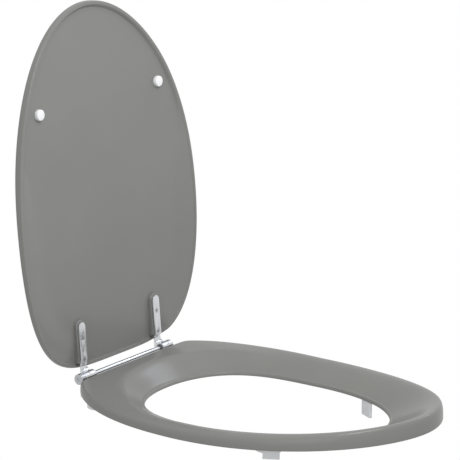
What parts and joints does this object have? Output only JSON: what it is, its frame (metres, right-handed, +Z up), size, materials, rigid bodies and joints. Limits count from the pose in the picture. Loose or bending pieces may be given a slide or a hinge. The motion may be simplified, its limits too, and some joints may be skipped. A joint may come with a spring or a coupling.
{
  "type": "toilet seat",
  "caption": "Grey moulded toilet seat and lid on a stainless steel cross-bar hinge, with soft buffers and legs that keep the seat from sliding on the pan.",
  "frame": {"origin": "on the top surface of the pan, midway between the two fixing holes", "axes": "+X to the right seen from the front, -Y towards the front of the pan, +Z up"},
  "size_m": [0.3586, 0.532, 0.5091],
  "materials": {
    "seat_moulding": "gloss",
    "lid_moulding": "gloss",
    "hinge_steel": "satin",
    "screw_steel": "satin",
    "bush_plastic": "satin",
    "seat_buffer_plastic": "satin",
    "lid_buffer_plastic": "satin"
  },
  "bodies": {
    "hinge": {"hinge_bar": "hinge_steel", "hinge_base_left": "hinge_steel", "hinge_base_right": "hinge_steel", "bar_end_screws": "screw_steel"},
    "seat": {"seat_ring": "seat_moulding", "seat_lug_left": "hinge_steel", "seat_lug_right": "hinge_steel", "lug_bush_left": "bush_plastic", "lug_bush_right": "bush_plastic", "lug_screws": "screw_steel", "front_buffer_left": "seat_buffer_plastic", "front_buffer_right": "seat_buffer_plastic", "rear_buffer_left": "seat_buffer_plastic", "rear_buffer_right": "seat_buffer_plastic"},
    "lid": {"lid": "lid_moulding", "lid_strap_left": "hinge_steel", "lid_strap_right": "hinge_steel", "strap_bush_left": "bush_plastic", "strap_bush_right": "bush_plastic", "strap_screws": "screw_steel", "lid_buffer_left": "lid_buffer_plastic", "lid_buffer_right": "lid_buffer_plastic"}
  },
  "joints": [
    {"name": "seat_lift", "type": "hinge", "parent": "hinge", "child": "seat", "pos_m": [0, 0, 0.026], "axis": [-1, 0, 0], "range_deg": [0, 92]},
    {"name": "lid_close", "type": "hinge", "parent": "hinge", "child": "lid", "pos_m": [0, 0, 0.026], "axis": [1, 0, 0], "range_deg": [0, 95.1]}
  ]
}
